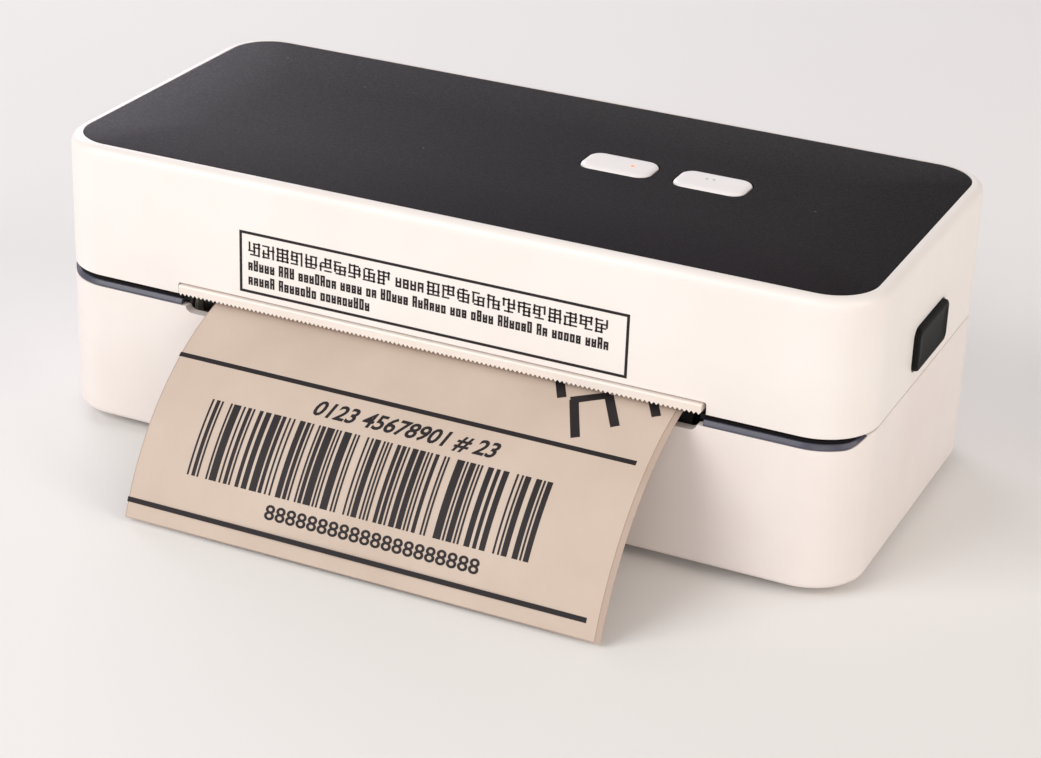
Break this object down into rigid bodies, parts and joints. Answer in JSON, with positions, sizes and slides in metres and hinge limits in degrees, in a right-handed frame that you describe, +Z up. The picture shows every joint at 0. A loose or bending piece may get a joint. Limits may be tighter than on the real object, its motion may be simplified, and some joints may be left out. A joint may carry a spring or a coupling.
{
  "type": "thermal label printer",
  "caption": "Low white desktop label printer with a rounded rear-hinged cover, black top panel, two buttons, side latches, front tear slot and a curled printed label.",
  "frame": {"origin": "middle of the whole plan on the table, under the feet", "axes": "+X to the printer's right as seen from the front, +Y to the rear, +Z up; the label leaves towards -Y"},
  "size_m": [0.1874, 0.1218, 0.0656],
  "materials": {
    "base_white": "satin moulded ABS",
    "cover_white": "satin moulded ABS",
    "button_white": "satin moulded ABS",
    "panel_black": "fine matte texture",
    "trim_dark": "polished",
    "frame_plastic": "moulded",
    "latch_black": "moulded",
    "tear_bar": "translucent moulding",
    "label_paper": "coated thermal paper",
    "rubber": "ground",
    "steel": "zinc plated",
    "aluminium": "pressed",
    "head_ceramic": "glazed",
    "nylon": "moulded acetal",
    "brass": "machined",
    "board_green": "solder mask",
    "ribbon": "flexible flat cable",
    "cable": "insulated wire",
    "sensor": "moulded"
  },
  "bodies": {
    "base": {"base_shell": "base_white", "media_deck": "frame_plastic", "media_sensor": "sensor", "motor": "steel", "motor_cable": "cable", "idler_post": "steel", "main_board": "board_green", "dc_jack": "latch_black", "usb_port": "steel", "switch_housing": "latch_black", "rocker_pin": "steel", "trim_strip_left": "trim_dark", "trim_strip_right": "trim_dark", "platen_bracket_left": "steel", "platen_bracket_right": "steel", "platen_bush_left": "nylon", "platen_bush_right": "nylon", "hinge_bracket_left": "frame_plastic", "hinge_bracket_right": "frame_plastic", "foot_front_left": "rubber", "foot_front_right": "rubber", "foot_rear_left": "rubber", "foot_rear_right": "rubber", "base_screw_1": "steel", "base_screw_2": "steel", "base_screw_3": "steel", "base_screw_4": "steel", "printed_label": "label_paper"},
    "platen": {"platen_gear": "nylon", "platen_roller": "rubber", "platen_shaft": "steel"},
    "idler": {"idler_gear": "nylon"},
    "motor_drive": {"motor_pinion": "brass", "motor_shaft": "steel"},
    "guide_left": {"media_guide_left": "frame_plastic"},
    "guide_right": {"media_guide_right": "frame_plastic"},
    "guide_gear": {"guide_pinion": "nylon"},
    "power_switch": {"power_rocker": "latch_black"},
    "cover": {"cover_shell": "cover_white", "top_panel": "panel_black", "tear_bar": "tear_bar", "cover_frame": "frame_plastic", "hinge_pin_left": "steel", "hinge_pin_right": "steel", "head_pivot_pin": "steel", "head_ribbon": "ribbon", "button_board": "board_green", "head_spring_left": "steel", "head_spring_right": "steel"},
    "head": {"print_head": "head_ceramic", "head_bracket": "aluminium"},
    "power_button": {"button_power": "button_white"},
    "feed_button": {"button_feed": "button_white"},
    "latch_left": {"side_latch_left": "latch_black"},
    "latch_right": {"side_latch_right": "latch_black"}
  },
  "joints": [
    {"name": "platen_spin", "type": "hinge", "parent": "base", "child": "platen", "pos_m": [0, -0.01167, 0.02904], "axis": [1, 0, 0], "continuous": true},
    {"name": "idler_spin", "type": "hinge", "parent": "base", "child": "idler", "pos_m": [0.0685, 0.00496, 0.01944], "axis": [1, 0, 0], "continuous": true},
    {"name": "motor_spin", "type": "hinge", "parent": "base", "child": "motor_drive", "pos_m": [0.0685, 0.02096, 0.01944], "axis": [1, 0, 0], "continuous": true},
    {"name": "guide_right_slide", "type": "slide", "parent": "base", "child": "guide_right", "axis": [1, 0, 0], "range_m": [-0.025, 0.004]},
    {"name": "guide_left_slide", "type": "slide", "parent": "base", "child": "guide_left", "axis": [1, 0, 0], "range_m": [-0.004, 0.025]},
    {"name": "guide_gear_spin", "type": "hinge", "parent": "base", "child": "guide_gear", "pos_m": [0.002, 0.04227, 0.0297], "axis": [0, 0, 1], "range_deg": [-38.3, 238.9]},
    {"name": "power_rock", "type": "hinge", "parent": "base", "child": "power_switch", "pos_m": [-0.027, 0.05692, 0.0145], "axis": [-1, 0, 0], "range_deg": [0, 16]},
    {"name": "cover_open", "type": "hinge", "parent": "base", "child": "cover", "pos_m": [0, 0.05572, 0.0408], "axis": [-1, 0, 0], "range_deg": [0, 82]},
    {"name": "head_float", "type": "hinge", "parent": "cover", "child": "head", "pos_m": [0, 0.00633, 0.04594], "axis": [-1, 0, 0], "range_deg": [0, 2], "stiffness_Nm_per_rad": 2, "springref_deg": -4.58, "deforming": ["head_spring_left", "head_spring_right"]},
    {"name": "power_press", "type": "slide", "parent": "cover", "child": "power_button", "axis": [0, 0, -1], "range_m": [0, 0.0008], "stiffness_N_per_m": 300, "springref_m": -0.0005},
    {"name": "feed_press", "type": "slide", "parent": "cover", "child": "feed_button", "axis": [0, 0, -1], "range_m": [0, 0.0008], "stiffness_N_per_m": 300, "springref_m": -0.0005},
    {"name": "latch_left_press", "type": "slide", "parent": "cover", "child": "latch_left", "axis": [1, 0, 0], "range_m": [0, 0.0022], "stiffness_N_per_m": 400, "springref_m": -0.001},
    {"name": "latch_right_press", "type": "slide", "parent": "cover", "child": "latch_right", "axis": [-1, 0, 0], "range_m": [0, 0.0022], "stiffness_N_per_m": 400, "springref_m": -0.001}
  ],
  "couplings": [
    {"joint": "idler_spin", "follows": "platen_spin", "ratio": -0.84615},
    {"joint": "motor_spin", "follows": "platen_spin", "ratio": 1.5714},
    {"joint": "guide_left_slide", "follows": "guide_right_slide", "ratio": -1},
    {"joint": "guide_gear_spin", "follows": "guide_right_slide", "rad_per_m": -166.67}
  ]
}
